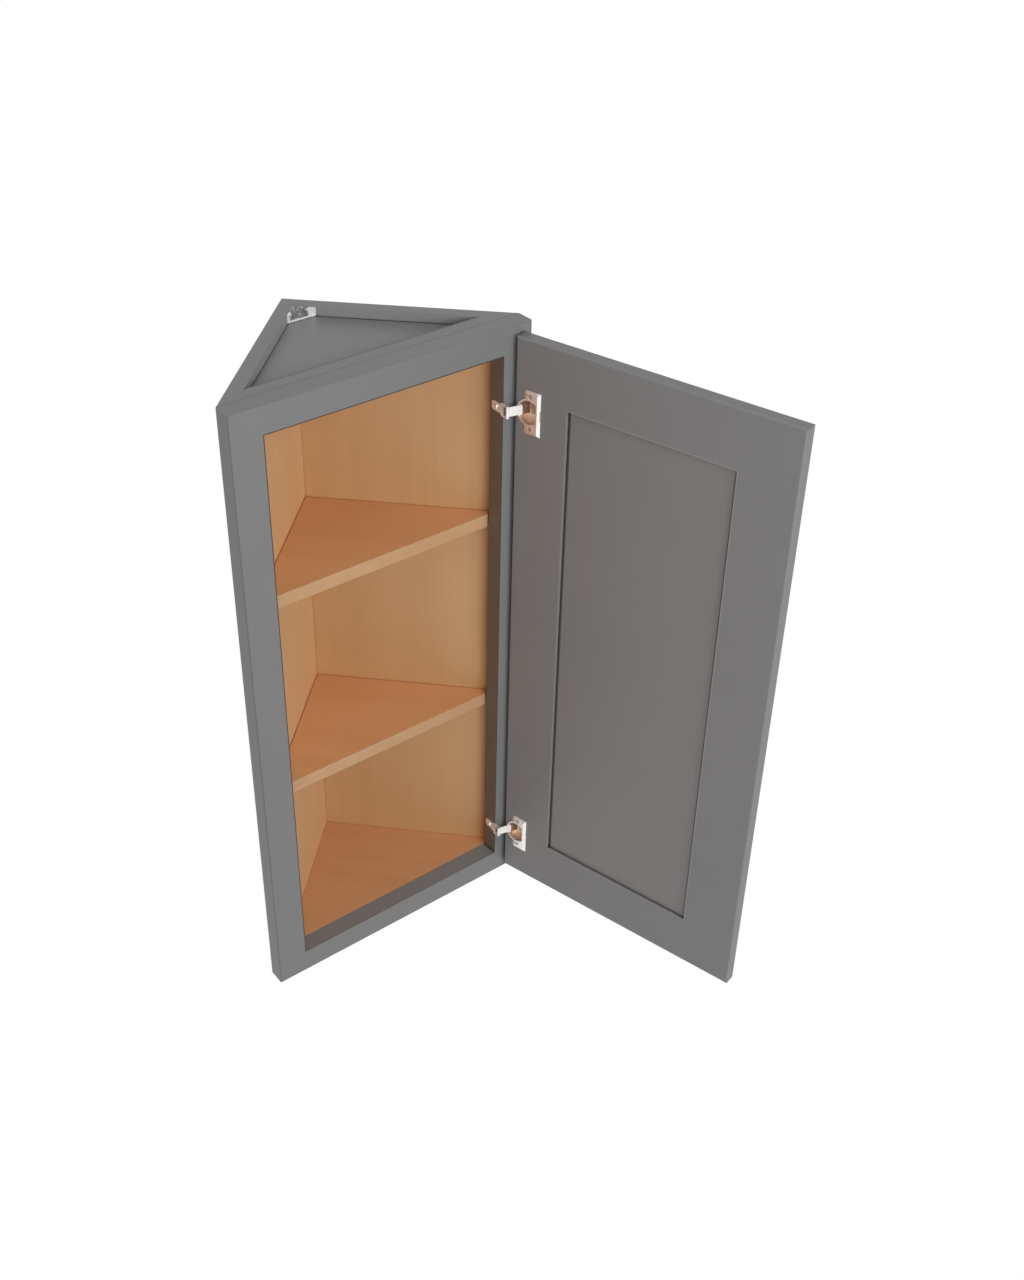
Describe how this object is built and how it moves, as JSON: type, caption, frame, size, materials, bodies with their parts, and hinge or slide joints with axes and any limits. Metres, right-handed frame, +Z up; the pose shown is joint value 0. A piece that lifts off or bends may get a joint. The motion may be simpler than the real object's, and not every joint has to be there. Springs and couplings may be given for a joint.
{
  "type": "angled end wall cabinet",
  "caption": "Triangular end wall cabinet with a face frame, a framed door open on cup hinges, shelves on pins and a recessed top.",
  "frame": {"origin": "bottom corner where the back panel's and the side panel's outer faces meet", "axes": "+Y towards the wall that the back panel hangs on, +X along that wall away from the side panel, +Z up"},
  "size_m": [0.6605, 0.3221, 0.9144],
  "materials": {
    "carcase_board": "satin maple laminate inside, grey paint outside",
    "shelf_board": "satin maple laminate",
    "cleat_wood": "satin grey paint",
    "frame_paint": "satin grey paint",
    "door_paint": "satin grey paint",
    "hinge_nickel": "bright nickel plate",
    "spring_steel": "blued spring steel",
    "screw_steel": "zinc plate",
    "shelf_pin_steel": "nickel plate",
    "bracket_zinc": "zinc plate"
  },
  "bodies": {
    "cabinet": {"side_panel": "carcase_board", "back_panel": "carcase_board", "top_panel": "carcase_board", "bottom_panel": "carcase_board", "top_cleat": "cleat_wood", "left_frame_stile": "frame_paint", "right_frame_stile": "frame_paint", "top_frame_rail": "frame_paint", "bottom_frame_rail": "frame_paint", "upper_shelf": "shelf_board", "lower_shelf": "shelf_board", "upper_shelf_pins": "shelf_pin_steel", "lower_shelf_pins": "shelf_pin_steel", "corner_bracket": "bracket_zinc", "corner_bracket_screws": "screw_steel", "upper_hinge_arm": "hinge_nickel", "upper_hinge_arm_screw": "screw_steel", "upper_hinge_arm_pin": "hinge_nickel", "lower_hinge_arm": "hinge_nickel", "lower_hinge_arm_screw": "screw_steel", "lower_hinge_arm_pin": "hinge_nickel"},
    "upper_link": {"upper_hinge_link": "hinge_nickel"},
    "lower_link": {"lower_hinge_link": "hinge_nickel"},
    "door": {"door_hinge_stile": "door_paint", "door_free_stile": "door_paint", "door_top_rail": "door_paint", "door_bottom_rail": "door_paint", "door_panel": "door_paint", "upper_hinge_cup": "hinge_nickel", "upper_hinge_cup_screws": "screw_steel", "upper_hinge_cup_pin": "hinge_nickel", "upper_hinge_spring": "spring_steel", "lower_hinge_cup": "hinge_nickel", "lower_hinge_cup_screws": "screw_steel", "lower_hinge_cup_pin": "hinge_nickel", "lower_hinge_spring": "spring_steel"}
  },
  "joints": [
    {"name": "upper_link_swing", "type": "hinge", "parent": "cabinet", "child": "upper_link", "pos_m": [0.29861, -0.05667, 0.8047], "axis": [0, 0, 1], "range_deg": [0, 34.5]},
    {"name": "door_swing", "type": "hinge", "parent": "upper_link", "child": "door", "pos_m": [0.31528, -0.04647, 0.8047], "axis": [0, 0, 1], "range_deg": [-139.9, 0]},
    {"name": "lower_link_swing", "type": "hinge", "parent": "cabinet", "child": "lower_link", "pos_m": [0.29861, -0.05667, 0.0903], "axis": [0, 0, 1], "range_deg": [0, 34.5]}
  ],
  "couplings": [
    {"joint": "upper_link_swing", "follows": "door_swing", "ratio": -0.2466},
    {"joint": "lower_link_swing", "follows": "door_swing", "ratio": -0.2466}
  ]
}
